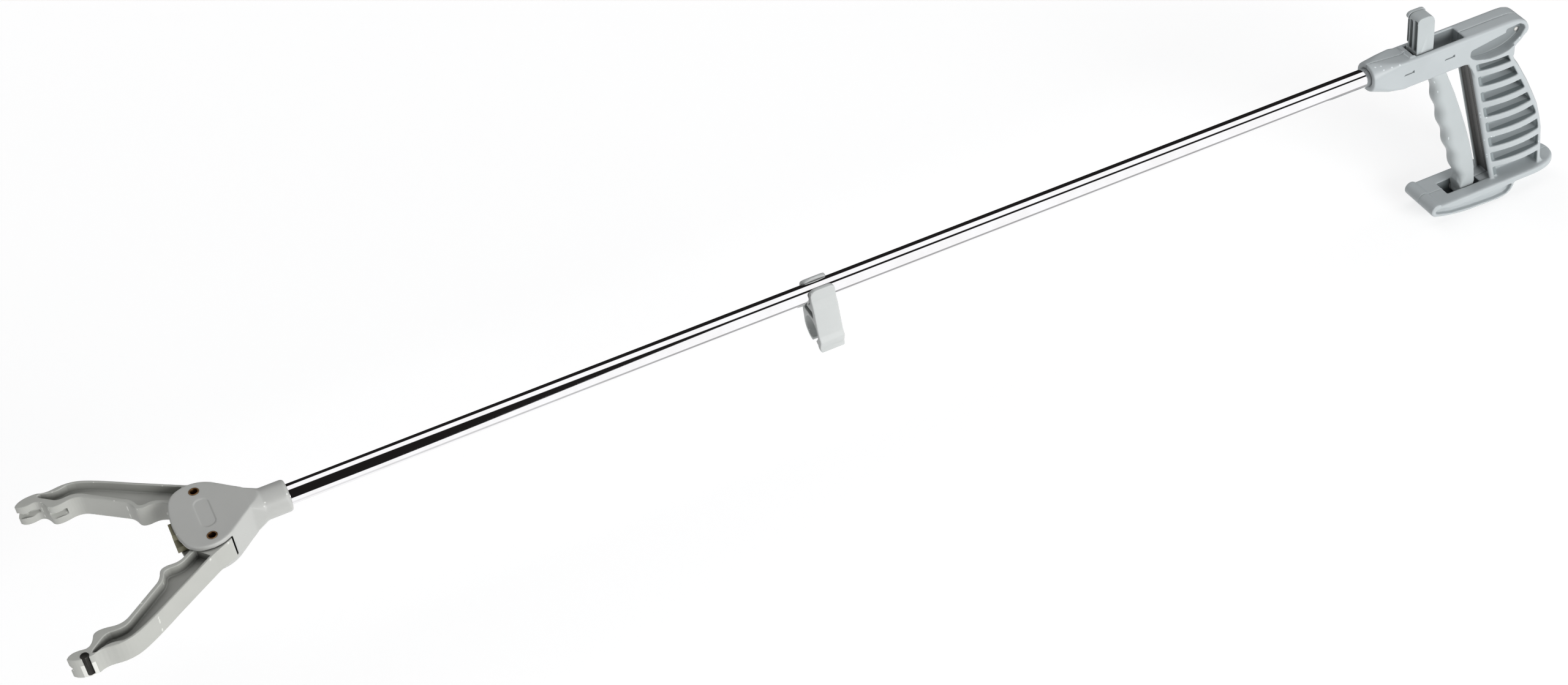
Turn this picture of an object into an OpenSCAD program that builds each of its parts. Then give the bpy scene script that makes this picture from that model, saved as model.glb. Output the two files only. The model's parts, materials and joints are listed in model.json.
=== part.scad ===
// Reacher grabber: pistol-grip trigger handle, thin shaft tube with a pull rod
// inside, and a two-jaw head at the far end. Millimetres.
// +X runs from the handle towards the jaws, +Z is up, +Y is the user's left.
// The origin is the middle of the hand grip.

/* [Shaft] */
// Full length of the shaft tube, ends inside the handle and head included
shaft_len = 748; // [450:1:900]
// Outside diameter of the shaft tube
shaft_dia = 12; // [11.6:0.1:12.4]
// Wall of the shaft tube
shaft_wall = 1; // [0.8:0.1:1.1]
// Diameter of the pull rod
rod_dia = 3.2; // [2.8:0.1:3.4]

/* [Jaws] */
// Angle each jaw swings through between fully open and closed
jaw_swing = 36.5; // [32:0.5:36.5]
// Height of the jaws, across the channel section
jaw_height = 13.6; // [12:0.2:13.6]
// Thickness of the jaw's two walls
jaw_wall = 2.3; // [1.8:0.1:2.8]
// Diameter of the hollow rivets that the jaws turn on
rivet_dia = 5.2; // [4.8:0.1:5.4]
// Diameter of the tip magnet
magnet_dia = 4.6; // [4:0.1:4.8]

/* [Handle] */
// Full width of the upper beam
beam_width = 19; // [17.5:0.5:21]
// Full width of the foot
foot_width = 31; // [29:0.5:33]
// Greatest full width of the ribbed grip
grip_width = 24; // [22:0.5:26]
// Angle the trigger swings through
pull_angle = 8.6; // [6:0.1:8.6]
// Width of the trigger
trigger_width = 12; // [11:0.2:12.1]

/* [Clip] */
// Width of the clip along the shaft
clip_width = 16; // [10:0.5:20]
// Diameter of the tube that the lower mouth of the clip snaps on
clip_bore = 16; // [15:0.5:16.5]
// Distance of the clip from the handle's nose
clip_from_nose = 372; // [60:1:387]

/* [Hidden] */
$fn = 64;
shaft_z = 64;
shaft_x0 = 84;
shaft_x1 = shaft_x0 + shaft_len;
nose_x = 107;
head_x = shaft_x1 + 28;
shaft_r = shaft_dia / 2;
bore_r = shaft_r - shaft_wall;
rod_r = rod_dia / 2;
beam_top = 71.3;
beam_low = 50.8;
foot_top = -52;
pivot_x = 27;
pivot_z = -58.5;
pivot_pin_r = 2;
rod_pin_x = 68;
rod_pin_r = 1.5;
rod_per_degree = 2.2;
rod_travel = rod_per_degree * pull_angle;
slot_half = 6.25;
rake = 12.7;
head_half = 10;
head_gap = 7.1;
jaw_y = 19.4;
rivet_r = rivet_dia / 2;
cross_x = 13;
tail_t = 2.5;
web_half = 0.8;
clip_x = nose_x + clip_from_nose;
spring_x0 = 92;
spring_len = 45;
spring_turns = 14;
dowel_at = [[-3, 60], [8, -60]];
rib_pitch = 13.3;

// A curve from a to c that leaves towards b and arrives from b
function bend(a, b, c, n = 8) =
  [for (i = [0:n]) let (t = i / n) (1 - t) * (1 - t) * a + 2 * t * (1 - t) * b + t * t * c];
// The same path moved sideways by d, to the left of its direction
function side(path, d) =
  [for (i = [0:len(path) - 1])
    let (p = path[max(i - 1, 0)], q = path[min(i + 1, len(path) - 1)], v = (q - p) / norm(q - p))
    path[i] + d * [-v[1], v[0]]];
// Several paths run together, without the points they share
function joined(paths) =
  let (all = [for (p = paths) each p])
  [for (i = [0:len(all) - 1]) if (i == 0 || norm(all[i] - all[max(i - 1, 0)]) > 0.02) all[i]];
function backwards(path) = [for (i = [len(path) - 1:-1:0]) path[i]];

// ---- Shared shapes -------------------------------------------------------

// Extrudes an XZ outline from y0 to y1
module slab(y0, y1) {
  translate([0, y1, 0]) rotate([90, 0, 0]) linear_extrude(y1 - y0) children();
}

// A cylinder along X that starts at x
module rod_x(x, len, r, z = shaft_z) {
  translate([x, 0, z]) rotate([0, 90, 0]) cylinder(h = len, r = r);
}

// A cylinder along Y centred on y = 0
module pin_y(x, z, len, r) {
  translate([x, 0, z]) rotate([90, 0, 0]) cylinder(h = len, r = r, center = true);
}

// A rounded rectangle between two corners
module round_rect(x0, z0, x1, z1, r) {
  translate([x0 + r, z0]) square([x1 - x0 - 2 * r, z1 - z0]);
  translate([x0, z0 + r]) square([x1 - x0, z1 - z0 - 2 * r]);
  for (x = [x0 + r, x1 - r], z = [z0 + r, z1 - r]) translate([x, z]) circle(r);
}

// Places the jaw head's own frame, whose origin is midway between the rivets
module at_head() {
  translate([head_x, 0, shaft_z]) children();
}

// ---- Shaft and pull rod --------------------------------------------------

module shaft_tube() {
  color("silver") difference() {
    rod_x(shaft_x0, shaft_len, shaft_r);
    rod_x(shaft_x0 - 1, shaft_len + 2, bore_r);
  }
}

module pull_rod() {
  color("gray") rod_x(rod_pin_x + 6, head_x + cross_x - 17 - rod_pin_x - 6, rod_r);
}

module rod_eye() {
  color("dimgray") difference() {
    union() {
      rod_x(rod_pin_x + 3, 11, 2.3);
      slab(-2.3, 2.3) translate([rod_pin_x, shaft_z]) circle(3.8);
    }
    pin_y(rod_pin_x, shaft_z, 8, rod_pin_r);
    rod_x(rod_pin_x + 6, 12, rod_r);
  }
}

module rod_pin() {
  color("silver") pin_y(rod_pin_x, shaft_z, trigger_width - 0.4, rod_pin_r);
}

module spring_seat() {
  color("ivory") difference() {
    union() {
      rod_x(spring_x0 - 7, 7, bore_r - 0.03);
      rod_x(shaft_x0 - 1.2, 1.2, shaft_r);
      rod_x(shaft_x0 - 0.01, 1.02, bore_r - 0.03);
    }
    rod_x(spring_x0 - 10, 12, rod_r + 0.08);
  }
}

module rod_collar() {
  color("gold") difference() {
    rod_x(spring_x0 + spring_len, 5, bore_r - 0.3);
    rod_x(spring_x0 + spring_len - 1, 7, rod_r);
  }
}

// Coil spring swept as rings of points along a helix
module return_spring() {
  wire = 0.5;
  coil = 3.6;
  steps = 16 * spring_turns;
  run = spring_len - 2 * wire - 0.1;
  ring = [for (i = [0:steps], k = [0:5])
    let (t = 360 * i / 16, a = 60 * k, r = coil + wire * cos(a))
    [spring_x0 + 0.05 + wire + run * i / steps + wire * sin(a), r * cos(t), shaft_z + r * sin(t)]];
  walls = [for (i = [0:steps - 1], k = [0:5])
    let (a = 6 * i + k, b = 6 * i + (k + 1) % 6) [a, b, b + 6, a + 6]];
  color("silver") polyhedron(ring, concat([[5, 4, 3, 2, 1, 0]], walls,
    [[for (k = [0:5]) 6 * steps + k]]));
}

module rod_guide() {
  color("ivory") at_head() difference() {
    translate([-42, 0, 0]) rotate([0, 90, 0]) cylinder(h = 6, r = bore_r - 0.03);
    translate([-43, 0, 0]) rotate([0, 90, 0]) cylinder(h = 8, r = rod_r + 0.08);
  }
}

module rod_locknut() {
  color("gray") at_head() difference() {
    translate([cross_x - 24.7, 0, 0]) rotate([0, 90, 0]) cylinder(h = 2.6, r = 3.6, $fn = 6);
    translate([cross_x - 26, 0, 0]) rotate([0, 90, 0]) cylinder(h = 5, r = rod_r);
  }
}

// ---- Jaw head ------------------------------------------------------------

module crosshead() {
  color("darkkhaki") at_head() difference() {
    union() {
      for (z = [-6.8, 2.9]) translate([cross_x - 16.5, -5, z]) cube([23.2, 10, 3.9]);
      translate([cross_x - 16.5, -3.8, -6]) cube([3.3, 7.6, 12]);
      translate([cross_x - 22, 0, 0]) rotate([0, 90, 0]) cylinder(h = 7, r = 3.7);
    }
    translate([cross_x, 0, -8]) cylinder(h = 16, r = 1.5);
    translate([cross_x - 23, 0, 0]) rotate([0, 90, 0]) cylinder(h = 6, r = rod_r);
    for (y = [-9.5, 3.9]) translate([cross_x - 17, y, -8]) cube([5, 5.6, 16]);
  }
}

module crosshead_pin() {
  color("silver") at_head() translate([cross_x, 0, -6.9]) cylinder(h = 13.8, r = 1.5);
}

// Half outline of the head's plates, +Y side
function head_edge() = joined([
  bend([18, 0], [18, 9], [15.6, 17.2]), bend([15.6, 17.2], [12.8, 26.6], [1.5, 26.8]),
  bend([1.5, 26.8], [-6, 26.8], [-12.5, 20.6]), bend([-12.5, 20.6], [-18.8, 14.4], [-24.6, 9.2])]);

module head_plan() {
  half = head_edge();
  polygon(joined([half, backwards([for (p = half) if (p[1] > 0) [p[0], -p[1]]])]));
}

module jaw_head() {
  color("gainsboro") at_head() difference() {
    union() {
      translate([0, 0, -head_half]) linear_extrude(2 * head_half) head_plan();
      translate([-47, 0, 0]) rotate([0, 90, 0]) cylinder(h = 24, r = 9.4);
      // fairing from the square back of the plates to the round socket
      intersection() {
        translate([-32, 0, 0]) rotate([0, 90, 0]) cylinder(h = 8, r1 = 9.5, r2 = 13.2);
        translate([-40, -9.3, -head_half + 0.1]) cube([18, 18.6, 2 * head_half - 0.2]);
      }
    }
    translate([-9.8, -40, -head_gap]) cube([40, 80, 2 * head_gap]);
    translate([0, 0, -head_gap]) linear_extrude(2 * head_gap)
      polygon([[-9, 19], [-19, 8.6], [-19, -8.6], [-9, -19]]);
    translate([-23.6, -4.4, -head_gap]) cube([8, 8.8, 2 * head_gap]);
    translate([-48, 0, 0]) rotate([0, 90, 0]) cylinder(h = 20, r = shaft_r + 0.03);
    translate([-30, 0, 0]) rotate([0, 90, 0]) cylinder(h = 10, r = 4.6);
    for (y = [-jaw_y, jaw_y]) translate([0, y, -12]) cylinder(h = 24, r = rivet_r + 0.02);
    // generic oval panel between the rivets, in place of any mark
    translate([-1, 0, head_half - 0.4]) linear_extrude(1) {
      square([9, 15], center = true);
      for (y = [-7.5, 7.5]) translate([0, y]) circle(4.5);
    }
  }
}

module jaw_rivets() {
  color("peru") at_head() for (y = [-jaw_y, jaw_y]) translate([0, y, 0]) difference() {
    union() {
      cylinder(h = 2 * head_half + 0.3, r = rivet_r, center = true);
      for (z = [-head_half - 0.2, head_half]) translate([0, 0, z]) cylinder(h = 0.2, r = rivet_r + 0.35);
    }
    cylinder(h = 30, r = rivet_r - 0.4, center = true);
  }
}

module jaw_washers() {
  color("white") at_head() for (y = [-jaw_y, jaw_y], z = [-7.06, 6.46]) translate([0, y, z]) difference() {
    cylinder(h = 0.6, r = 6.2);
    translate([0, 0, -1]) cylinder(h = 3, r = rivet_r + 0.04);
  }
}

// Gripping edge of the left jaw, from the root to the tip, jaws open
function grip_edge() = joined([
  [[6, 15], [14, 20.6]], bend([16, 22.2], [20.4, 26.2], [25, 25.6], 5),
  bend([25, 25.6], [31.6, 24.6], [32.8, 28.6], 6),
  bend([32.8, 28.6], [34, 33.8], [37, 36.1], 6), bend([55, 51.2], [59.4, 55.2], [65, 54], 6),
  bend([65, 54], [74.6, 51.4], [76.2, 55.4], 8), bend([76.2, 55.4], [78.4, 63.6], [83, 62.4], 6),
  bend([83, 62.4], [88.4, 61], [91.4, 63.4], 5), [[92.7, 65]]]);
// Outer edge of the left jaw, from the root to the tip
function back_edge() = joined([
  [[-9, 24.3], [3, 31]], bend([30, 50], [48, 63.4], [55, 66.6], 8), bend([55, 66.6], [62, 69.8], [70, 68], 6),
  bend([70, 68], [75.4, 67], [79, 69.4], 4), bend([79, 69.4], [89.4, 70.4], [92.7, 65], 8)]);

module jaw_plan() {
  polygon(joined([back_edge(), backwards(grip_edge()), [[0, 14.4], [-5, 16.4], [-8.6, 21.4]]]));
}

// The open channel between the jaw's two walls, short of the hub and the tip
module jaw_channel_plan() {
  w = jaw_wall;
  polygon(joined([
    [[11, 21.8]], bend([16, 22.9 + w], [20.6, 26.6 + w], [25, 26.2 + w], 4),
    bend([25, 26.2 + w], [30.2, 25.6 + w], [30.8, 28 + w], 4),
    bend([30.8, 28 + w], [32, 33.6 + w], [36, 36.2 + w], 4),
    bend([54, 51.6 + w], [58.4, 56.6 + w], [65.4, 55.7 + w], 4),
    bend([65.4, 55.7 + w], [70, 54.4 + w], [73, 58 + w], 4),
    bend([77, 61.6 + w], [81.4, 65.2 + w], [77.4, 67.6], 4), bend([77.4, 67.6], [71.4, 64.4], [66, 65.8], 4),
    bend([62.6, 66.8], [58.6, 66.6], [55.8, 65], 3),
    bend([55.8, 65], [48.6, 61.8], [30.9, 48.7], 6), [[5, 30.4]]]));
}

// Centre of the crosshead pin in the left jaw's own frame, part k of the stroke
function cam_point(k) =
  let (a = jaw_swing * k, x = cross_x - rod_travel * k)
  [x * cos(a) + jaw_y * sin(a), jaw_y + x * sin(a) - jaw_y * cos(a)];

// Points around the far end of a path, from its left side to its right
function round_end(path, r) =
  let (n = len(path) - 1, v = path[n] - path[n - 1], a = atan2(v[1], v[0]))
  [for (i = [1:9]) path[n] + r * [cos(a + 90 - 18 * i), sin(a + 90 - 18 * i)]];

// A slot of half width r along a path, with round ends
module slot_plan(path, r) {
  polygon(concat(side(path, r), round_end(path, r),
    backwards(side(path, -r)), round_end(backwards(path), r)));
}

module jaw_tail_plan() {
  polygon([[-1.6, 15], [3.2, 2.8], [8, -1.6], [15.6, 2.4], [5.4, 19]]);
  for (k = [0, 0.5, 1]) translate(cam_point(k)) circle(4.2);
}

// One jaw as it lies on the +Y side; tail_z is the lower face of its tail
module jaw(tail_z) {
  h = jaw_height / 2;
  difference() {
    union() {
      translate([0, 0, -h]) linear_extrude(2 * h) jaw_plan();
      translate([0, jaw_y, -h]) cylinder(h = 2 * h, r = 7.4);
      translate([0, 0, tail_z]) linear_extrude(tail_t) jaw_tail_plan();
    }
    translate([0, 0, web_half]) linear_extrude(h) jaw_channel_plan();
    translate([0, 0, -h - web_half]) linear_extrude(h) jaw_channel_plan();
    for (z = [-h - 1, 6.4]) translate([0, jaw_y, z]) cylinder(h = h - 5.4, r = 6.5);
    translate([0, jaw_y, -20]) cylinder(h = 40, r = rivet_r + 0.06);
    translate([0, 0, tail_z - 1]) linear_extrude(6)
      slot_plan([for (i = [0:10]) cam_point(i / 10)], rod_pin_r + 0.06);
    // V groove across the tip pad and the second pad
    for (p = [[80.6, 61.2, 14, 14], [66.4, 53.7, 0, 10]]) translate([p[0], p[1], 0]) rotate([0, 0, p[2]])
      rotate([45, 0, 0]) translate([0, -1.7, -1.7]) cube([p[3], 3.4, 3.4]);
  }
}

magnet_at = [83.6, 67.4];

module jaw_left() {
  color("lightgray") at_head() difference() {
    jaw(0.2);
    translate([magnet_at[0], magnet_at[1], -jaw_height / 2 + 0.8])
      cylinder(h = 20, r = magnet_dia / 2 + 0.02);
    translate([magnet_at[0] - 1.95, magnet_at[1], -jaw_height / 2 + 0.8]) cube([3.9, 8, jaw_height]);
  }
}

module jaw_right() {
  color("lightgray") at_head() mirror([0, 1, 0]) jaw(-0.2 - tail_t);
}

module tip_magnet() {
  color("dimgray") at_head() translate([magnet_at[0], magnet_at[1], -jaw_height / 2 + 0.8])
    cylinder(h = jaw_height - 0.5, r = magnet_dia / 2);
}

// ---- Trigger -------------------------------------------------------------

// Centre of the rod pin in the trigger's own frame, at pull angle a
function pull_point(a) =
  let (x = rod_pin_x - pivot_x - rod_per_degree * a, z = shaft_z - pivot_z)
  [pivot_x + x * cos(a) + z * sin(a), pivot_z - x * sin(a) + z * cos(a)];

// Front edge with four finger hollows, from the foot up to the beam
function finger_edge() =
  [for (i = [0:48]) let (z = -44 + 2 * i, f = (z + 44) / 96)
    [33.4 + 27.6 * f + 1.3 * sin(180 * f) + 0.8 * cos(18 * (z - 27)), z]];

module trigger_plan() {
  polygon(joined([
    finger_edge(), bend([62, 53], [70, 58], [74, 66], 4), bend([74.4, 93.6], [74.4, 97.2], [71, 97.3], 4),
    bend([67.4, 97.3], [61.6, 97.3], [61.4, 91], 6), [[61.2, 66], [59.6, 56], [55, 52.6]],
    bend([50.4, 49.6], [47, 41], [42.6, 30.3], 4), bend([35.6, 10.4], [26, -18], [22.4, -38], 6),
    [[21.2, -50], [22.8, -57.6], [31.2, -57.6], [33.2, -48]]]));
  translate([pivot_x, pivot_z]) circle(4.6);
}

module trigger() {
  w = trigger_width / 2;
  color("lightgray") difference() {
    slab(-w, w) trigger_plan();
    pin_y(pivot_x, pivot_z, 20, pivot_pin_r + 0.06);
    // pocket for the rod's eye, and the cam slots for its pin
    slab(-2.6, 2.6) round_rect(62.6, 53.5, 80, 69.5, 2);
    slab(-w - 1, w + 1)
      slot_plan([for (i = [0:8]) pull_point(pull_angle * i / 8)], rod_pin_r + 0.06);
    // deep grooves down the front of the lever block
    slab(-2.4, 0.4) round_rect(67.5, 72.4, 80, 94, 1);
    slab(2.2, 5.2) round_rect(67.5, 72.4, 80, 95.2, 1);
    // recess for the thumb lock plate
    slab(-w - 1, -w + 2.6) translate([55, 71.9]) square([30, 30]);
    translate([67.6, -w + 6, 84]) rotate([90, 0, 0]) cylinder(h = 10, r = 1.2);
  }
}

module trigger_pivot_pin() {
  color("silver") pin_y(pivot_x, pivot_z, 23, pivot_pin_r);
}

module trigger_washers() {
  color("white") for (s = [-1, 1]) translate([0, s * (slot_half + trigger_width / 2) / 2, 0]) difference() {
    pin_y(pivot_x, pivot_z, 0.2, 4.6);
    pin_y(pivot_x, pivot_z, 5, pivot_pin_r + 0.04);
  }
}

module thumb_lock_plan() {
  difference() {
    union() {
      round_rect(61.8, 73, 73.4, 97.2, 3);
      translate([66, 92.4]) square([6.4, 4.8]);
      translate([72.4, 94.8]) circle(2.4);
    }
    translate([67.6, 84]) circle(1.26);
  }
}

module thumb_lock() {
  w = trigger_width / 2;
  color("gray") difference() {
    slab(-w, -w + 2.5) thumb_lock_plan();
    slab(-w + 0.5, -w + 2) round_rect(70.4, 75.4, 80, 92, 0.7);
  }
}

module lock_pin() {
  w = trigger_width / 2;
  color("silver") translate([67.6, -w + 5.9, 84]) rotate([90, 0, 0]) cylinder(h = 5.9, r = 1.2);
}

// ---- Handle --------------------------------------------------------------

function beavertail_edge() = joined([
  bend([6, beam_top], [-6, beam_top], [-9.2, 63.4], 8), bend([-9.2, 63.4], [-11, 59.4], [-6, 56], 5),
  bend([-6, 56], [3, 50.4], [2.2, 46.4], 5)]);
function grip_back_edge() = joined([
  bend([2.2, 46.4], [1, 41.6], [-2.6, 37], 4), [[-12.4, 19]],
  bend([-21.4, 0], [-28.8, -15], [-29, -30], 6), [[-29.2, foot_top]]]);

module beam_plan() {
  polygon(joined([[[82, beam_low], [82, beam_top]], beavertail_edge(), [[30, 38], [36, beam_low]]]));
}

module grip_plan() {
  polygon(joined([[[34.6, beam_low + 3], [2.2, beam_low + 3]], grip_back_edge(),
    [[-29.2, foot_top - 3], [10, foot_top - 3]]]));
}

// Half of the foot's plate seen from above, square in front and round behind
module foot_top_plan() {
  w = foot_width / 2;
  polygon(joined([[[-18, 0], [60.8, 0], [60.8, w]], bend([-16, w], [-41.6, w], [-41.8, 0], 12)]));
}

// Side outline of the keel under the front of the foot
module keel_plan() {
  polygon(joined([[[-6, foot_top - 2]], bend([-4.6, foot_top - 4], [-3.4, -65.6], [8, -65.6], 5),
    bend([34, -64.6], [50, -62.4], [57, -59.6], 4),
    bend([57, -59.6], [59.6, -58.6], [60.6, -55.8], 4), [[56, foot_top - 2]]]));
}

// Solid half of the handle on the +Y side, before it is hollowed
module handle_half_solid() {
  slab(0, beam_width / 2) beam_plan();
  intersection() {
    slab(0, grip_width / 2) grip_plan();
    translate([0, grip_width / 2 - 75, 0]) rotate([0, rake, 0])
      cylinder(h = 200, r = 75, center = true, $fn = 180);
  }
  translate([0, 0, foot_top - 4.5]) linear_extrude(4.5) intersection() {
    foot_top_plan();
    translate([-60, 0]) square([117, 40]);
  }
  // rolled front edge of the foot
  slab(0, foot_width / 2) translate([56.2, foot_top - 3.1]) circle(4.6);
  intersection() {
    slab(0, foot_width / 2) keel_plan();
    translate([0, 0, -80]) linear_extrude(60) foot_top_plan();
  }
  // nose, blending the beam into a round collar
  hull() {
    translate([81.9, 0, beam_low]) cube([0.1, beam_width / 2, beam_top - beam_low]);
    nose_middle();
  }
  hull() {
    nose_middle();
    intersection() {
      rod_x(nose_x - 4, 4, 9.6);
      translate([nose_x - 5, 0, 0]) cube([10, 30, 100]);
    }
  }
  // lip at the front of the trigger slot
  slab(0, beam_width / 2 - 0.5) round_rect(75.4, 68, 79.8, beam_top + 1.1, 1);
}

// Rounded section of the nose, part of the way from the beam to the collar
module nose_middle() {
  translate([95, 0, 51.6]) cube([0.1, 4.6, 21]);
  translate([95, 0, 56.4]) cube([0.1, 9.7, 11.4]);
  for (z = [56.4, 67.8]) translate([95, 4.9, z]) rotate([0, 90, 0]) cylinder(h = 0.1, r = 4.8);
}

// Outline of the pockets between the ribs of the grip, with its front end moved back by d
module rib_pockets_plan(d) {
  intersection() {
    polygon([[32.9 - d, 53], [8, 53], [6.6, 46], [-6.4, 21], [-14.4, 5], [-20.2, -7.4], [-23.8, -20],
      [-24.8, -30], [-25, foot_top], [9.3 - d, foot_top]]);
    union() {
      translate([-60, 42.4]) square([120, 5.6]);
      for (i = [0:5]) translate([-60, 29.1 - rib_pitch * i]) square([120, 8.4]);
      translate([-60, foot_top]) square([120, 9.8]);
    }
  }
}

// Pockets in the left side of the handle
module side_pockets() {
  slab(beam_width / 2 - 5.1, 30)
    polygon([[34.6, 60.2], [8.6, 64.2], [8.4, 66.8], [-1.6, 67.4], [-4.8, 65.4],
      [-6, 62.6], [-2.6, 57.2], [2, 54.2],
      [7.4, 52], [12, 51.1], [21.2, 50.5], [30, 51.8], [33, 53.6], [34.8, 56]]);
  slab(1.4, 8.3) rib_pockets_plan(4.8);
  slab(8.2, 30) rib_pockets_plan(1.6);
  slab(foot_width / 2 - 3.2, 30) polygon([[-2.6, -57], [12, -57.4], [31, -57.6], [45.4, -57], [50, -55.6],
    [53.6, -54.3], [56.2, -54.2], [57.5, -55.3], [57.4, -56.8], [55.6, -57.9], [45, -61.1], [30.4, -62.9],
    [10.9, -64], [2.6, -63.4], [-0.6, -61]]);
}

// Hollow inside of the left half of the beam, behind its outer wall
module inner_hollow() {
  slab(-1, 3.4) round_rect(3, 55, 34, 67.4, 2);
}

module handle_shell() {
  difference() {
    handle_half_solid();
    // slot through the beam for the trigger and its lever
    slab(-1, slot_half) round_rect(38.6, 40, 76.6, 90, 0.6);
    // shallow channel down the front of the grip
    slab(-1, slot_half + 0.4)
      polygon([[44, 57.6], [35.4, 57.6], [33.6, 53.8], [31.4, 51], [7.4, -52.6], [30, -52.6]]);
    // slot in the foot round the trigger's pivot
    slab(-1, slot_half) round_rect(17, -63.6, 42.4, -40, 1);
    pin_y(pivot_x, pivot_z, 23.2, pivot_pin_r + 0.02);
    // bore for the shaft tube, and a smaller way for its end bush and the rod
    rod_x(shaft_x0, 40, shaft_r + 0.03);
    rod_x(70, 15, shaft_r + 0.1);
    side_pockets();
    inner_hollow();
    // snap marks on the beam's side
    for (x = [48.2, 78.3]) {
      slab(beam_width / 2 - 0.6, 20) translate([x, 61.4]) square([6.2, 0.8]);
      slab(beam_width / 2 - 0.6, 20) translate([x, 61.8]) circle(0.9);
    }
    // blind holes for the two alignment dowels
    for (p = dowel_at) pin_y(p[0], p[1], 9.2, 1.53);
  }
}

module handle_left_shell() {
  color("lightgray") handle_shell();
}

module handle_right_shell() {
  color("lightgray") mirror([0, 1, 0]) handle_shell();
}

module shell_dowels() {
  color("white") for (p = dowel_at) pin_y(p[0], p[1], 9, 1.5);
}

// ---- Storage clip --------------------------------------------------------

module clip_plan() {
  b = clip_bore / 2;
  w = 2.3;
  difference() {
    union() {
      circle(shaft_r + 0.05 + w);
      translate([3, -24]) circle(b + w);
      polygon([[-8.3, 0], [-8, -6], [-7.2, -22], [6, -22], [13.2, -24], [10.4, -6], [8.35, 0]]);
      polygon([[13.3, -24], [12, -22], [10, -31], [9.8, -33.2], [12.2, -36.9], [14.1, -35.8], [13.2, -33.2],
        [15.2, -28]]);
      translate([2, -4]) square([6.4, 11]);
    }
    circle(shaft_r + 0.05);
    translate([-20, 7.4]) square([40, 20]);
    polygon([[0, 0], [-4.4, 12], [5.4, 12], [5.4, 0]]);
    translate([3, -24]) circle(b);
    polygon([[3, -24], [1.6, -46], [9.4, -36.6], [9.8, -33.7]]);
    polygon([[-5, -9], [-4.6, -13.6], [7.4, -13.4], [7, -9]]);
  }
}

// Side outline of the clip, with a domed upper lip and rounded lower corners
module clip_side_plan() {
  w = clip_width;
  polygon(joined([bend([0, 3.6], [0, 7.4], [w / 2, 7.5], 8), bend([w / 2, 7.5], [w, 7.4], [w, 3.6], 8),
    bend([w, -33.6], [w, -37], [w - 3.2, -37], 6), bend([3.2, -37], [0, -37], [0, -33.6], 6)]));
}

module storage_clip() {
  color("gainsboro") translate([clip_x, 0, shaft_z]) intersection() {
    rotate([90, 0, 90]) linear_extrude(clip_width) clip_plan();
    slab(-30, 30) clip_side_plan();
  }
}

// ---- Output --------------------------------------------------------------

shaft_tube();
pull_rod();
rod_eye();
rod_pin();
spring_seat();
rod_collar();
return_spring();
rod_guide();
rod_locknut();
crosshead();
crosshead_pin();
jaw_head();
jaw_rivets();
jaw_washers();
jaw_left();
jaw_right();
tip_magnet();
trigger();
trigger_pivot_pin();
trigger_washers();
thumb_lock();
lock_pin();
handle_left_shell();
handle_right_shell();
shell_dowels();
storage_clip();
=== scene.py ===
"""Looks of the reacher grabber: materials, soft edges, floor, light and camera around the CAD frame.

Shapes and places on the object are millimetres in the frame's own axes: origin in the middle of the
hand grip, +X from the handle to the jaws, +Z up. Textures, floor, lights and camera are in metres.
"""

import json
import math

import bmesh
import bpy
import numpy as np
from mathutils import Matrix, Vector


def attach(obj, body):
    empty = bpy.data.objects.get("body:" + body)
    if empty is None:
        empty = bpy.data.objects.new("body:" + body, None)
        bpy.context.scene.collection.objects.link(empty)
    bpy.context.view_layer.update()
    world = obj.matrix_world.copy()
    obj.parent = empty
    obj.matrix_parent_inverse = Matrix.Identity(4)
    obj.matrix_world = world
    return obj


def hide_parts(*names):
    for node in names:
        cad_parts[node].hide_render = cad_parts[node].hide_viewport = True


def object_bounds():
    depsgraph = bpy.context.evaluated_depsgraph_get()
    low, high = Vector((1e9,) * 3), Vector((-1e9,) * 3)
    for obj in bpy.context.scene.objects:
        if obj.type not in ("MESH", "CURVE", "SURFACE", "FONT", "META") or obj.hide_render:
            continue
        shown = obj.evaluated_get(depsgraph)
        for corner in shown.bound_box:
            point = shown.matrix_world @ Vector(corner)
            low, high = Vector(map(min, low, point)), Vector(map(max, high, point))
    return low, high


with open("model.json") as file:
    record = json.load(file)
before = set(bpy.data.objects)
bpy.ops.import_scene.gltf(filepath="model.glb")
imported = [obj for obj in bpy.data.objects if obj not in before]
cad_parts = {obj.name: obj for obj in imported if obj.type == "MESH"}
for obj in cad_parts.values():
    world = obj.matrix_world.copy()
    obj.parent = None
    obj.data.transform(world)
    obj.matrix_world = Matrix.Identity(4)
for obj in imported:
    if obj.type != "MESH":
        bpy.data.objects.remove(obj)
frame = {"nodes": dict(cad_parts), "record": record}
cad_box = [list(v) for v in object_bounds()]
nodes = frame["nodes"]
slots = {s["node"]: s["material_slot"] for s in frame["record"]["subparts"] if "node" in s}

# ---- Driving dimensions, the same as in the part's source -------------------

MM = 1000  # in a metre
X, Y, Z = range(3)  # columns of an array of points
SHAFT = np.array((0.0, 64.0))  # y and z of the shaft's axis
SHAFT_BORE = 6.03  # radius of the holes that hold the tube
HEAD_X, JAW_Y = 860, 19.4  # the jaws' rivets
MAGNET = np.array((943.6, 67.4))  # x and y
TRIGGER_PIVOT = np.array((27.0, -58.5))  # x and z, as for the two pins below
LOCK_PIN = np.array((67.6, 84.0))
ROD_PIN = np.array((68.0, 64.0))
ROD_PIN_SLOT = 1.6  # half the width of the pin's slot in the trigger
ROD_PER_RADIAN = 126.05  # how far the rod slides as the trigger turns
PULL = 0.1501  # the trigger's full pull in radians

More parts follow.
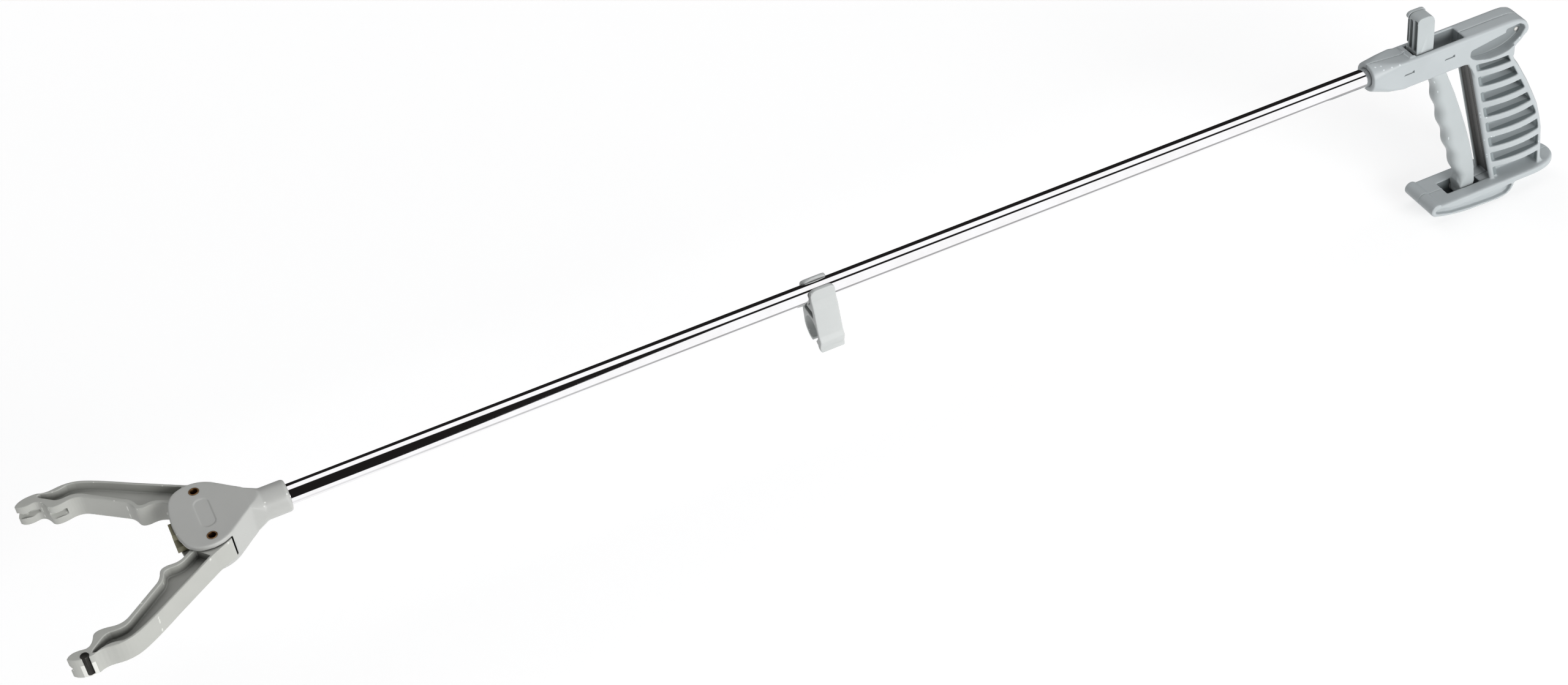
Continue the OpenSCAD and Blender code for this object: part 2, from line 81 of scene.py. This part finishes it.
RAKE = math.radians(12.7)  # how far the grip leans forward
FRONT_SLOPE = 0.2261  # x per z of the grip's front edge
BEAM_HALF = 9.5
FOOT_HALF = 15.5
GRIP_HALF = 12.0
GRIP_ROUND = 75.0  # radius of the grip's crowned sides
SNAP_MARKS = (48.2, 78.3)  # x of the sunk snap marks on the beam


# ---- Materials --------------------------------------------------------------


class Tree:
    """Shorthand for building a node tree whose textures follow one coordinate."""

    def __init__(self, tree, coord):
        self.tree = tree
        self.coord = tree.nodes.new("ShaderNodeTexCoord").outputs[coord]

    def feed(self, socket, value):
        """Put a number or colour in a socket, or link another node's output to it."""
        if isinstance(value, (int, float, tuple)):
            socket.default_value = value
        else:
            self.tree.links.new(value, socket)

    def node(self, kind, **inputs):
        n = self.tree.nodes.new("ShaderNode" + kind)
        for name, value in inputs.items():
            self.feed(n.inputs[name], value)
        return n

    def axes(self):
        return self.node("SeparateXYZ", Vector=self.coord).outputs

    def math(self, op, a, b=0.5, clamp=False):
        n = self.node("Math")
        n.operation = op
        n.use_clamp = clamp
        self.feed(n.inputs[0], a)
        self.feed(n.inputs[1], b)
        return n.outputs[0]

    def plus(self, a, b, clamp=False):
        return self.math("ADD", a, b, clamp)

    def minus(self, a, b):
        return self.math("SUBTRACT", a, b)

    def times(self, first, *more):
        for factor in more:
            first = self.math("MULTIPLY", first, factor)
        return first

    def between(self, value, low, high):
        """1 where the value lies between low and high, 0 elsewhere."""
        return self.times(self.math("GREATER_THAN", value, low), self.math("LESS_THAN", value, high))

    def mix(self, fac, a, b, kind="MIX"):
        n = self.tree.nodes.new("ShaderNodeMix")
        n.data_type = "RGBA"
        n.blend_type = kind
        for i, value in ((0, fac), (6, a), (7, b)):
            self.feed(n.inputs[i], value)
        return n.outputs[2]

    def ramp(self, source, *stops):
        """A grey ramp from (position, value) stops."""
        n = self.node("ValToRGB", Fac=source)
        elements = n.color_ramp.elements
        while len(elements) < len(stops):
            elements.new(0.5)
        for element, (position, value) in zip(elements, stops):
            element.position = position
            element.color = (value, value, value, 1)
        return n.outputs[0]

    def rise(self, source, low, high):
        return self.ramp(source, (low, 0.0), (high, 1.0))


class Surface(Tree):
    """One material."""

    def __init__(self, name):
        self.mat = bpy.data.materials.new(name)
        self.mat.use_nodes = True
        self.mat.node_tree.nodes.clear()
        super().__init__(self.mat.node_tree, "Object")
        self.bsdf = self.node("BsdfPrincipled")
        self.node("OutputMaterial", Surface=self.bsdf.outputs[0])

    def set(self, name, value):
        self.feed(self.bsdf.inputs[name], value)

    def noise(self, scale, detail=3.0, rough=0.55, stretch=None):
        at = self.node("Mapping", Vector=self.coord, Scale=stretch).outputs[0] if stretch else self.coord
        return self.node("TexNoise", Scale=scale, Detail=detail, Roughness=rough, Vector=at).outputs["Fac"]

    def specks(self, scale, size):
        """1 on small round spots, 0 between them."""
        spots = self.node("TexVoronoi", Scale=scale, Vector=self.coord).outputs["Distance"]
        return self.ramp(spots, (0.0, 1.0), (size, 0.0))

    def bump(self, height, strength, distance, under=None):
        n = self.node("Bump", Strength=strength, Distance=distance, Height=height)
        if under is not None:
            self.feed(n.inputs["Normal"], under)
        return n.outputs[0]

    def edge_wear_and_highlight(self, low, high):
        """How sharp the convex edge is here: 0 on flats, 1 on sharp corners, which get lightened as wear and
        as a painted highlight.
        """
        return self.rise(self.node("NewGeometry").outputs["Pointiness"], low, high)

    def recess_shade(self, reach, low, high, floor):
        """Painted shade: a multiplier that falls to floor deep inside pockets, slots and inner corners."""
        n = self.node("AmbientOcclusion", Distance=reach)
        n.samples = 6
        return self.ramp(n.outputs["AO"], (low, floor), (high, 1.0))

    def coats(self, tone, coats):
        """Lay thin coats of colour over the tone, each a mask, how dense it is, and its colour."""
        for mask, dense, hexa in coats:
            tone = self.mix(self.times(mask(self), dense), tone, colour(hexa))
        return tone


def colour(hexa):
    """A colour from its sRGB hex digits."""
    c = [int(hexa[i : i + 2], 16) / 255 for i in (0, 2, 4)]
    c = [x / 12.92 if x <= 0.04045 else ((x + 0.055) / 1.055) ** 2.4 for x in c]
    return (*c, 1.0)


def toned(base, gain, lift=0.0):
    """A lighter or darker shade of a colour."""
    return (*(min(1, c * gain + lift) for c in base[:3]), 1.0)


def box(low, high):
    """A mask: 1 inside a box, 0 outside."""

    def mask(g):
        out = 1.0
        for p, a, b in zip(g.axes(), low, high):
            off = g.math("ABSOLUTE", g.minus(p, (a + b) / 2 / MM))
            out = g.times(out, g.math("LESS_THAN", off, (b - a) / 2 / MM))
        return out

    return mask


def ahead_of_grip(g, x, z):
    """How far a point lies ahead of the line through the origin that leans as the grip's front does."""
    return g.minus(x, g.times(z, FRONT_SLOPE))


def groove_shade(g):
    """A mask for painted shade: the channel down the front of the grip, darkened as if deep in shadow."""
    x, y, z = g.axes()
    reach = 50  # one ramp from 0 to 1
    ahead = g.times(ahead_of_grip(g, x, z), MM / reach)
    ahead = g.ramp(ahead, (18.1 / reach, 0.0), (18.3 / reach, 1.0), (20.9 / reach, 1.0), (21.8 / reach, 0.0))
    across = g.math("LESS_THAN", g.math("ABSOLUTE", y), 6.8 / MM)
    return g.times(ahead, across, g.between(z, -51.5 / MM, 51.5 / MM))


def ledge_shade(g):
    """A mask for painted shade: the sunk parts of the grip's side pockets, just under the rib faces."""
    x, y, z = g.axes()
    reach = 10  # one ramp from 0 to 1
    across = g.minus(g.times(x, math.cos(RAKE)), g.times(z, math.sin(RAKE)))
    crown = g.math("SQRT", g.minus((GRIP_ROUND / MM) ** 2, g.times(across, across)))
    surface = g.minus(crown, (GRIP_ROUND - GRIP_HALF) / MM)
    side = g.math("ABSOLUTE", y)
    sunk = g.rise(g.times(g.minus(surface, side), MM / reach), 0.7 / reach, 1.3 / reach)
    pocket = g.math("GREATER_THAN", side, 7.2 / MM)
    behind = g.math("LESS_THAN", ahead_of_grip(g, x, z), 19.2 / MM)
    return g.times(sunk, pocket, g.between(z, -50.5 / MM, 48.5 / MM), behind)


def plastic(name, hexa, rough=0.38, grain=0.16, tint=0.04, drift=0.0, deep=0.5, deep_left=None,
            dabs=(), shade_coats=()):
    """A moulded plastic with clouds, worn and highlighted edges, specks and painted shade in recesses.

    tint is how far the clouds stray from the colour, drift sets their size apart from the others'.
    deep is how dark the painted shade in recesses gets, deep_left the same on the +Y side where that
    differs.
    dabs are coats under the painted shade of the fine corners; the coats of painted shade in the last
    argument go over it."""
    g = Surface(name)
    base = colour(hexa)
    light = toned(base, 1 + tint)
    clouds = g.rise(g.noise(14 + drift, 4, 0.6), 0.35, 0.65)
    flow = g.rise(g.noise(60, 3, 0.5, stretch=(0.4, 1.0, 1.6)), 0.4, 0.75)
    tone = g.mix(clouds, toned(base, 1 - tint), light)
    tone = g.mix(g.times(flow, 0.25), tone, light)
    # Sharp edges lighter: partly worn, partly a painted highlight along rims and fillets
    scuff_and_sheen = g.times(g.edge_wear_and_highlight(0.528, 0.60), g.ramp(g.noise(240, 4, 0.7), (0.30, 0.55), (0.62, 1.0)))
    tone = g.mix(g.times(scuff_and_sheen, 0.85), tone, toned(base, 1.6, 0.06))
    tone = g.mix(g.times(g.specks(900, 0.045), 0.25), tone, toned(base, 0.72))

    # Painted shade in pockets, slots and inner corners; deep_left makes it darker on the +Y side
    shade = g.recess_shade(0.012, 0.15, 0.72, deep)
    if deep_left is not None:
        left = g.math("GREATER_THAN", g.axes()[1], 0.0)
        shade = g.mix(left, shade, g.recess_shade(0.012, 0.15, 0.72, deep_left))
    tone = g.mix(1.0, tone, shade, "MULTIPLY")
    tone = g.coats(tone, dabs)
    # Painted shade in the fine corners and creases
    tone = g.mix(1.0, tone, g.recess_shade(0.0022, 0.35, 0.85, 0.62), "MULTIPLY")
    g.set("Base Color", g.coats(tone, shade_coats))

    mottle = g.noise(420, 2, 0.5)
    matt = g.plus(rough - 0.07, g.times(mottle, 0.14))
    g.set("Roughness", g.minus(matt, g.times(scuff_and_sheen, 0.08)))
    scratches = g.rise(g.noise(90, 5, 0.6, stretch=(1.0, 22.0, 9.0)), 0.60, 0.72)
    relief = g.bump(g.noise(2600, 3, 0.6), grain, 0.00012)
    relief = g.bump(mottle, grain * 0.7, 0.0002, relief)
    g.set("Normal", g.bump(scratches, 0.05, 0.0001, relief))
    g.set("Specular IOR Level", 0.42)
    g.set("Subsurface Weight", 0.03)
    g.set("Subsurface Radius", (0.004, 0.004, 0.004))
    g.set("Subsurface Scale", 0.3)
    return g.mat


def chrome(name):
    """A mirror-bright tube with long streaks and a few pits."""
    g = Surface(name)
    blot = g.noise(45, 4, 0.65)
    tone = g.mix(g.rise(blot, 0.4, 0.7), (0.90, 0.89, 0.89, 1), (0.96, 0.96, 0.97, 1))
    pits = g.specks(700, 0.03)
    g.set("Base Color", g.mix(g.times(pits, 0.4), tone, (0.35, 0.33, 0.32, 1)))
    g.set("Metallic", 1.0)
    matt = g.plus(0.05, g.times(g.rise(blot, 0.45, 0.8), 0.05))
    g.set("Roughness", g.plus(matt, g.times(pits, 0.15)))
    streaks = g.bump(g.noise(30, 5, 0.6, stretch=(0.25, 14.0, 14.0)), 0.02, 0.00008)
    g.set("Normal", g.bump(pits, 0.05, 0.00006, streaks))
    return g.mat


def plated(name, hexa, rough=0.3, dirt=0.35):
    """A dull plated or bare metal with grime, bright edges and turning marks."""
    g = Surface(name)
    base = colour(hexa)
    grime = g.rise(g.noise(180, 5, 0.65), 0.42, 0.68)
    tone = g.mix(g.times(grime, dirt), base, toned(base, 0.45))
    tone = g.mix(g.times(g.edge_wear_and_highlight(0.52, 0.62), 0.6), tone, toned(base, 1.4, 0.05))
    g.set("Base Color", tone)
    g.set("Metallic", 1.0)
    g.set("Roughness", g.plus(rough, g.times(grime, 0.25)))
    g.set("Normal", g.bump(g.noise(300, 3, 0.5, stretch=(1.0, 1.0, 9.0)), 0.12, 0.0001))
    return g.mat


# Coats of painted shade on the handle, laid by position: the grip's side pockets, its front groove, the
# beam's pocket, both slots and the snap marks
HANDLE_SHADE_COATS = [
    (ledge_shade, 0.75, "6A7476"),
    (groove_shade, 0.8, "453F3A"),
    # Painted shade in the side pocket of the beam, the lever slot and the foot slot
    (box((-8, -5.2, 50), (36, 5.2, 68.5)), 0.55, "4E5557"),
    (box((38.4, -6.4, 50), (76.8, 6.4, 70.6)), 0.5, "4E5557"),
    (box((16.8, -6.4, -64), (42.6, 6.4, -52.6)), 0.75, "4E5557"),
]
# Painted shade on the floor and the rear wall of each snap mark
for x in SNAP_MARKS:
    for y in (-9.3, 9.3):
        HANDLE_SHADE_COATS.append((box((x - 0.4, y - 0.7, 61.2), (x + 6.6, y + 0.7, 61.9)), 0.85, "4E5557"))
        HANDLE_SHADE_COATS.append((box((x - 1.0, y - 0.7, 61.2), (x + 0.3, y + 0.7, 63.2)), 0.85, "4E5557"))

# White adhesive left on both sides of the magnet's slot
MAGNET_TABS = [(box((939.5, 66.6, 54.5), (947.5, 73, 66)), 0.6, "EFEFEA")]

MATERIALS = {
    "chromed_tube": (chrome, {}),
    "steel_rod": (plated, dict(hexa="B6B8BA", rough=0.25)),
    "steel_fittings": (plated, dict(hexa="C2C3C2", rough=0.24)),
    "brass_fittings": (plated, dict(hexa="C9A15A")),
    "spring_wire": (plated, dict(hexa="A8A9AC")),
    "rivet_copper": (plated, dict(hexa="8C6B48")),
    "magnet": (plated, dict(hexa="3A3936", rough=0.38, dirt=0.5)),
    "white_nylon": (plastic, dict(hexa="EDEAE0", rough=0.5, grain=0.08, tint=0.03)),
    "natural_nylon": (plastic, dict(hexa="7A765C", rough=0.46, tint=0.10, deep=0.35)),
    "head_plastic": (plastic, dict(hexa="B2B3B0", rough=0.40, drift=1.0, deep=0.6)),
    # The jaws' painted shade is much darker on their +Y side
    "jaw_plastic": (plastic, dict(hexa="ABACA7", tint=0.045, drift=2.0, deep=0.8, deep_left=0.30,
                                  dabs=MAGNET_TABS)),
    "trigger_plastic": (plastic, dict(hexa="AEB4B5", grain=0.14, drift=3.0, deep=0.7)),
    "handle_plastic": (plastic, dict(hexa="ADB3B5", drift=4.0, deep=0.97, shade_coats=HANDLE_SHADE_COATS)),
    "clip_plastic": (plastic, dict(hexa="BABDBC", rough=0.42, grain=0.14, drift=5.0, deep=0.45)),
}
MATS = {name: make(name, **values) for name, (make, values) in MATERIALS.items()}


def dress(obj, slot_name):
    obj.data.materials.clear()
    obj.data.materials.append(MATS[slot_name])


# ---- Moulded skins ----------------------------------------------------------
# Each moulded piece is rebuilt as a fine even skin over its CAD shape, with the
# soft corners that a mould leaves. Each shape function moves an (n, 3) array of points.


def clamp_corner(a, b, r):
    """Pull points of a square corner (a, b from its centre of radius r) onto the quarter circle."""
    far = np.hypot(a, b)
    m = (a > 0) & (b > 0) & (far > r)
    k = np.where(m, r / np.maximum(far, 1e-9), 1.0)
    return m, a * k, b * k


def round_outline(co, axes, path, half, r):
    """Round the edge between a flat side and the outline path, which has the solid on its right.

    axes names the outline's two axes and the axis across it; half(u, v) is where the flat side is."""
    u, v, w = (co[:, i] for i in axes)
    path = np.array(path, float)
    best = np.full(len(co), 1e9)
    near = np.zeros((len(co), 2))
    inward = np.zeros((len(co), 2))
    depth = np.zeros(len(co))
    q = np.stack([u, v], 1)
    for start, end in zip(path[:-1], path[1:]):
        d = end - start
        t = np.clip(((q - start) @ d) / (d @ d), 0, 1)
        foot = start + t[:, None] * d
        dist = np.linalg.norm(q - foot, axis=1)
        normal = np.array([d[1], -d[0]]) / np.linalg.norm(d)
        m = dist < best
        best[m] = dist[m]
        near[m] = foot[m]
        inward[m] = normal
        depth[m] = ((q - foot) @ normal)[m]
    side = np.abs(w)
    a = r - np.maximum(depth, 0)
    b = side - (half(u, v) - r)
    m, a, b = clamp_corner(a, b, r)
    m &= (best < r) & (side > half(u, v) - r) & (side < half(u, v) + 0.3)
    out = co.copy()
    moved = near + inward * (r - a)[:, None]
    out[m, axes[0]] = moved[m, 0]
    out[m, axes[1]] = moved[m, 1]
    out[m, axes[2]] = (np.sign(w) * (half(u, v) - r + b))[m]
    return out


def finger_front(z):
    """x of the trigger's front: it leans and bulges, with a finger hollow every 20 mm."""
    up = (z + 44) / 96
    return 33.4 + 27.6 * up + 1.3 * np.sin(np.pi * up) + 0.8 * np.cos(np.radians(360 / 20 * (z - 27)))


def shape_trigger(co):
    """Rounds the trigger's front edges, less and less towards its two ends."""
    half, slope = 6, 0.96
    x, y, z = co.T
    r = 4.9 * np.clip((z + 51) / 8, 0, 1) * np.clip((51 - z) / 6, 0, 1) + 0.01
    m, a, b = clamp_corner(r - slope * (finger_front(z) - x), np.abs(y) - (half - r), r)
    m &= (z > -51) & (z < 51) & (x > 20)
    out = co.copy()
    out[m, X] = (finger_front(z) - (r - a) / slope)[m]
    out[m, Y] = (np.sign(y) * (half - r + b))[m]
    return out


# Outlines of the handle in x and z: over the beam and its back, down the grip's spine,
# the beam's underside, and the grip's front beside the trigger
BACK = [(-6, 56), (-8.6, 58), (-9.7, 60.4), (-9.2, 63.4), (-7.6, 66.4), (-4.6, 69.2), (0.5, 71),
        (6, 71.3), (82, 71.3)]
SPINE = [(-29.2, -50), (-28.6, -25), (-26.8, -16), (-23.4, -4.6), (-18.4, 6.4), (-12.4, 19), (-2.6, 37),
         (0.6, 41.8), (2.2, 46.4)]
LOWER = [(82, 50.8), (37, 50.8)]
FRONT = [(34.6, 53.8), (10, -55)]


def grip_half(x, z):
    """Half the grip's width, on its crowned sides."""
    across = x * math.cos(RAKE) - z * math.sin(RAKE)
    return np.sqrt(np.maximum(GRIP_ROUND**2 - across**2, 0)) - (GRIP_ROUND - GRIP_HALF)


def flat(half):
    """A side that lies flat, this far from the middle."""
    return lambda u, v: np.full(len(u), half)


def foot_edge():
    """The foot's rim in x and y, from the round back to the straight side."""
    rim = []
    for i in range(13):
        t = 1 - i / 12
        x = (1 - t) ** 2 * -16 + 2 * t * (1 - t) * -41.6 + t * t * -41.8
        rim.append((x, FOOT_HALF * (1 - t * t)))
    return rim + [(56, FOOT_HALF)]


def shape_shell(sign):
    """Rounds the long edges of one half of the handle; sign is its side, +1 for left."""
    side_view, top_view = (X, Z, Y), (X, Y, Z)

    def shape(co):
        co = co * (1, sign, 1)

        def part(mask, path, half, r, axes=side_view, lift=0.0):
            raised = round_outline(co[mask] + (0, 0, lift), axes, path, half, r)
            co[mask] = raised - (0, 0, lift)

        part(co[:, Z] > 52, BACK, flat(BEAM_HALF), 2.2)
        under = inside(co, (38, -np.inf, 48), (82, np.inf, 54))
        part(under, LOWER, flat(BEAM_HALF), 1.6)
        grip = (co[:, Z] < 46) & (co[:, Z] > -50)
        part(grip, SPINE, grip_half, 3.0)
        part(grip, FRONT, grip_half, 1.5)
        # The foot's top is at -52, which 100 mm higher is a flat side 48 from the middle
        foot = inside(co, (-np.inf, -np.inf, -54.5), (55, np.inf, -51.5))
        part(foot, foot_edge(), flat(48.0), 1.7, top_view, 100.0)
        return co * (1, sign, 1)

    return shape


def shape_head(co):
    """Rounds the open end of the head's socket."""
    end, outer, r = 813, 9.4, 2.2
    ring = co[:, 1:] - SHAFT
    far = np.maximum(np.linalg.norm(ring, axis=1), 1e-6)
    m, a, b = clamp_corner(r - (co[:, X] - end), far - (outer - r), r)
    m &= co[:, X] < end + 3
    out = co.copy()
    out[m, X] = end + r - a[m]
    out[m, 1:] = SHAFT + (ring * ((outer - r + b) / far)[:, None])[m]
    return out


def bore(axis, centre, radius, low, high):
    """Put the points of a round hole back on their circle after smoothing."""
    i, j = [k for k in range(3) if k != axis]

    def fix(co):
        d = co[:, [i, j]] - centre
        far = np.linalg.norm(d, axis=1)
        m = (np.abs(far - radius) < 0.32) & (co[:, axis] > low) & (co[:, axis] < high)
        co[np.ix_(m, [i, j])] = centre + d[m] / far[m, None] * radius
        return co

    return fix


def cam_slot(points, radius):
    """Put the points of a slot along Y, which follows points, back at its width after smoothing."""

    def fix(co):
        near = np.all(np.abs(co[:, [X, Z]] - points.mean(0)) < 5, axis=1)
        spot = co[near][:, [X, Z]]
        gap = spot[:, None] - points
        best = np.argmin(np.hypot(gap[..., 0], gap[..., 1]), axis=1)
        d = spot - points[best]
        far = np.hypot(d[:, 0], d[:, 1])
        m = np.abs(far - radius) < 0.4
        spot[m] = points[best][m] + d[m] / far[m, None] * radius
        co[np.ix_(near, [X, Z])] = spot
        return co

    return fix


def rod_pin_path(steps):
    """Where the rod's pin runs in the trigger, as the trigger turns and the rod slides."""
    turn = np.linspace(0, PULL, steps)
    x = ROD_PIN[0] - TRIGGER_PIVOT[0] - ROD_PER_RADIAN * turn
    z = ROD_PIN[1] - TRIGGER_PIVOT[1]
    across = x * np.cos(turn) + z * np.sin(turn)
    up = z * np.cos(turn) - x * np.sin(turn)
    return TRIGGER_PIVOT + np.stack([across, up], 1)


def inside(co, low, high):
    return np.all((co > low) & (co < high), axis=1)


def settled(obj):
    """The object's mesh after its modifiers."""
    return bpy.data.meshes.new_from_object(obj.evaluated_get(bpy.context.evaluated_depsgraph_get()))


def placed(name, mesh):
    obj = bpy.data.objects.new(name, mesh)
    bpy.context.scene.collection.objects.link(obj)
    return obj


def even_mesh(name, voxel):
    """The CAD node's shape as a mesh of even small squares."""
    mesh = nodes[name].data.copy()
    work = placed("work", mesh)
    work.modifiers.new("weld", "WELD").merge_threshold = 0.000002
    voxels = work.modifiers.new("voxels", "REMESH")
    voxels.mode = "VOXEL"
    voxels.voxel_size = voxel / MM
    even = settled(work)
    bpy.data.objects.remove(work)
    bpy.data.meshes.remove(mesh)
    return even


def skin(name, body, voxel, passes, shape=None, bores=(), still=(), calm=()):
    """A fine smooth mesh over a CAD node: still boxes aren't smoothed, calm ones by a given part."""
    even = even_mesh(name, voxel)
    n = len(even.vertices)
    co = np.empty(n * 3)
    even.vertices.foreach_get("co", co)
    co = co.reshape(-1, 3) * MM
    ends = np.empty(len(even.edges) * 2, int)
    even.edges.foreach_get("vertices", ends)
    a, b = ends.reshape(-1, 2).T
    count = np.maximum(np.bincount(a, minlength=n) + np.bincount(b, minlength=n), 1)
    if shape:
        co = shape(co)
    free = np.ones(n)
    for low, high in still:
        free[inside(co, low, high)] = 0
    for low, high, part in calm:
        free[inside(co, low, high)] = part
    for _ in range(passes):
        mean = [(np.bincount(a, co[b, k], n) + np.bincount(b, co[a, k], n)) / count for k in range(3)]
        co += 0.5 * free[:, None] * (np.stack(mean, 1) - co)
    for fix in bores:
        co = fix(co)
    even.vertices.foreach_set("co", (co / MM).ravel())
    even.update()

    piece = placed(name + "_skin", even)
    piece.modifiers.new("thin", "DECIMATE").ratio = 0.4
    thin = settled(piece)
    piece.modifiers.clear()
    piece.data = thin
    bpy.data.meshes.remove(even)
    thin.name = name + "_skin"
    thin.polygons.foreach_set("use_smooth", np.ones(len(thin.polygons), bool))
    dress(piece, slots[name])
    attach(piece, body)
    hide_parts(name)


for name, sign in (("handle_left_shell", 1), ("handle_right_shell", -1)):
    # The parting line and the nose's rim stay crisp, and so do the snap marks
    crisp = [((-60, -0.7, -80), (110, 0.7, 80), 0.3), ((74, -9.6, 71.0), (81, 9.6, 73), 0.15)]
    for x in SNAP_MARKS:
        crisp.append(((x - 1.5, sign * 8.9 - 1.1, 60), (x + 7.5, sign * 8.9 + 1.1, 63.4), 0.03))
    skin(name, "frame", voxel=0.42, passes=9, shape=shape_shell(sign), calm=crisp,
         bores=[bore(Y, TRIGGER_PIVOT, 2.02, -20, 20), bore(X, SHAFT, SHAFT_BORE, 84.5, 120)])
skin("trigger", "trigger", voxel=0.4, passes=12, shape=shape_trigger,
     bores=[bore(Y, TRIGGER_PIVOT, 2.06, -20, 20), bore(Y, LOCK_PIN, 1.2, -20, 20),
            cam_slot(rod_pin_path(17), ROD_PIN_SLOT)],
     still=[((62.4, -20, 60.5), (70.2, 20, 67.5))],
     calm=[((60, -20, 71), (76, 20, 99), 0.4)])
skin("thumb_lock", "thumb_lock", voxel=0.3, passes=5, bores=[bore(Y, LOCK_PIN, 1.26, -20, 20)])
for name, sign in (("jaw_left", 1), ("jaw_right", -1)):
    holes = [bore(Z, (HEAD_X, sign * JAW_Y), 2.66, 50, 80)]
    if name == "jaw_left":
        holes.append(bore(Z, MAGNET, 2.32, 50, 80))
    skin(name, name, voxel=0.28, passes=2, bores=holes, still=[((840, -40, 50), (871, 40, 80))])
skin("jaw_head", "frame", voxel=0.38, passes=7, shape=shape_head,
     bores=[bore(Z, (HEAD_X, JAW_Y), 2.62, 50, 80), bore(Z, (HEAD_X, -JAW_Y), 2.62, 50, 80),
            bore(X, SHAFT, SHAFT_BORE, 810, 833)],
     still=[((832, -40, 56.7), (890, 40, 71.3))],
     calm=[((850, -14, 70), (866, 14, 75), 0.25)])
skin("storage_clip", "clip", voxel=0.35, passes=6, bores=[bore(X, SHAFT, 6.05, 400, 600)])


# ---- CAD nodes that stay ----------------------------------------------------

BEVELS = {"crosshead": 0.4, "jaw_rivets": 0.1, "tip_magnet": 0.3, "shaft_tube": 0.2}

for name, obj in nodes.items():
    if obj.hide_render:
        continue
    dress(obj, slots.get(name, "steel_fittings"))
    obj.modifiers.new("weld", "WELD").merge_threshold = 0.000002
    planar = obj.modifiers.new("planar", "DECIMATE")
    planar.decimate_type = "DISSOLVE"
    planar.angle_limit = math.radians(0.6)
    if name in BEVELS:
        bevel = obj.modifiers.new("round", "BEVEL")
        bevel.width = BEVELS[name] / MM
        bevel.segments = 3
        bevel.limit_method = "ANGLE"
        bevel.angle_limit = math.radians(32)
        bevel.harden_normals = False
        bevel.miter_outer = "MITER_ARC"
    for polygon in obj.data.polygons:
        polygon.use_smooth = True
    if obj.data.has_custom_normals:
        with bpy.context.temp_override(object=obj, active_object=obj, selected_objects=[obj]):
            bpy.ops.mesh.customdata_custom_splitnormals_clear()


# ---- Floor, light and camera ------------------------------------------------


def floor(size, location, grey, glow):
    """A plain pale floor, which the chromed tube doesn't mirror."""
    mesh = bpy.data.meshes.new("floor")
    bm = bmesh.new()
    bmesh.ops.create_grid(bm, x_segments=1, y_segments=1, size=size / 2)
    bm.to_mesh(mesh)
    bm.free()
    obj = placed("floor", mesh)
    obj.location = location
    obj.visible_glossy = False
    g = Surface("floor_mat")
    color = (grey, grey, grey, 1.0)
    g.set("Base Color", g.mix(g.noise(6, 3, 0.5), color, toned(color, 0.985)))
    g.set("Roughness", 0.8)
    g.set("Emission Color", (1, 1, 1, 1))
    g.set("Emission Strength", glow)
    mesh.materials.append(g.mat)


def studio(tree):
    """A bright room with dark gaps between its soft boxes, which give the tube its bands.

    Every band is a range of angles about the X axis; its edges shift from start to end as one
    looks further along +X."""
    g = Tree(tree, "Generated")
    x, y, z = g.axes()

    def above(value, edge, soft):
        return g.math("DIVIDE", g.plus(g.minus(value, edge), soft / 2), soft, clamp=True)

    def below(value, edge, soft):
        return g.minus(1.0, above(value, edge, soft))

    turn = g.times(g.math("ARCTAN2", z, y), 180 / math.pi)
    along = above(x, -0.04, 0.27)

    def shifting(start, end):
        return g.plus(start, g.times(along, end - start))

    gap = g.times(above(turn, shifting(49, -12), 3.0), below(turn, shifting(71, 86), 3.0))
    back = g.plus(above(turn, shifting(125, 137), 4.0), below(turn, -141, 4.0), True)
    line = g.times(above(turn, -85, 4.0), below(turn, -55, 4.0), shifting(0.6, 0.12))
    rim = g.times(below(turn, -112, 14.0), shifting(0.08, 0.42))
    dark = g.plus(g.plus(gap, back), g.plus(line, rim), True)
    background = tree.nodes["Background"]
    g.feed(background.inputs["Color"], g.mix(dark, (1.0, 1.0, 1.01, 1), (0.012, 0.011, 0.011, 1)))
    g.feed(background.inputs["Strength"], 1.05)


def area(name, location, target, size, size_y, power):
    """A soft box aimed at the target."""
    light = bpy.data.lights.new(name, "AREA")
    light.shape = "RECTANGLE"
    light.size = size
    light.size_y = size_y
    light.energy = power
    obj = placed(name, light)
    obj.location = location
    obj.rotation_euler = (Vector(target) - Vector(location)).to_track_quat("-Z", "Y").to_euler()
    return obj


low, high = (Vector(corner) for corner in cad_box)
middle = (low + high) / 2
floor(30, (middle.x, middle.y, low.z - 0.001), 0.45, 0.64)

world = bpy.data.worlds.new("studio")
bpy.context.scene.world = world
world.use_nodes = True
studio(world.node_tree)

key = area("key", (-0.3, 2.6, 0.9), middle, 1.8, 1.2, 60)
# The chromed tube mirrors the room only: the key would show in it as a hard white patch
spared = bpy.data.collections.new("not_lit_by_key")
spared.objects.link(nodes["shaft_tube"])
key.light_linking.receiver_collection = spared
spared.collection_objects[0].light_linking.link_state = "EXCLUDE"
area("back_fill", (0.5, -2.6, 1.4), middle, 1.8, 1.2, 14).visible_glossy = False

# The photograph's camera: where it stands, and its own right, down and forward directions
cam = placed("camera", bpy.data.cameras.new("camera"))
cam.data.sensor_width = 36
cam.data.lens = 59.530
cam.data.clip_start = 0.01
right = Vector((-0.9010169, 0.4200881, -0.1081416))
down = Vector((0.3530379, 0.5652869, -0.7455300))
forward = Vector((-0.2520572, -0.7099132, -0.6576400))
turn = Matrix((right, -down, -forward)).transposed()
cam.matrix_world = Matrix.Translation((0.898037, 1.086506, 1.040890)) @ turn.to_4x4()
bpy.context.scene.camera = cam

bpy.context.scene.view_settings.view_transform = "Standard"
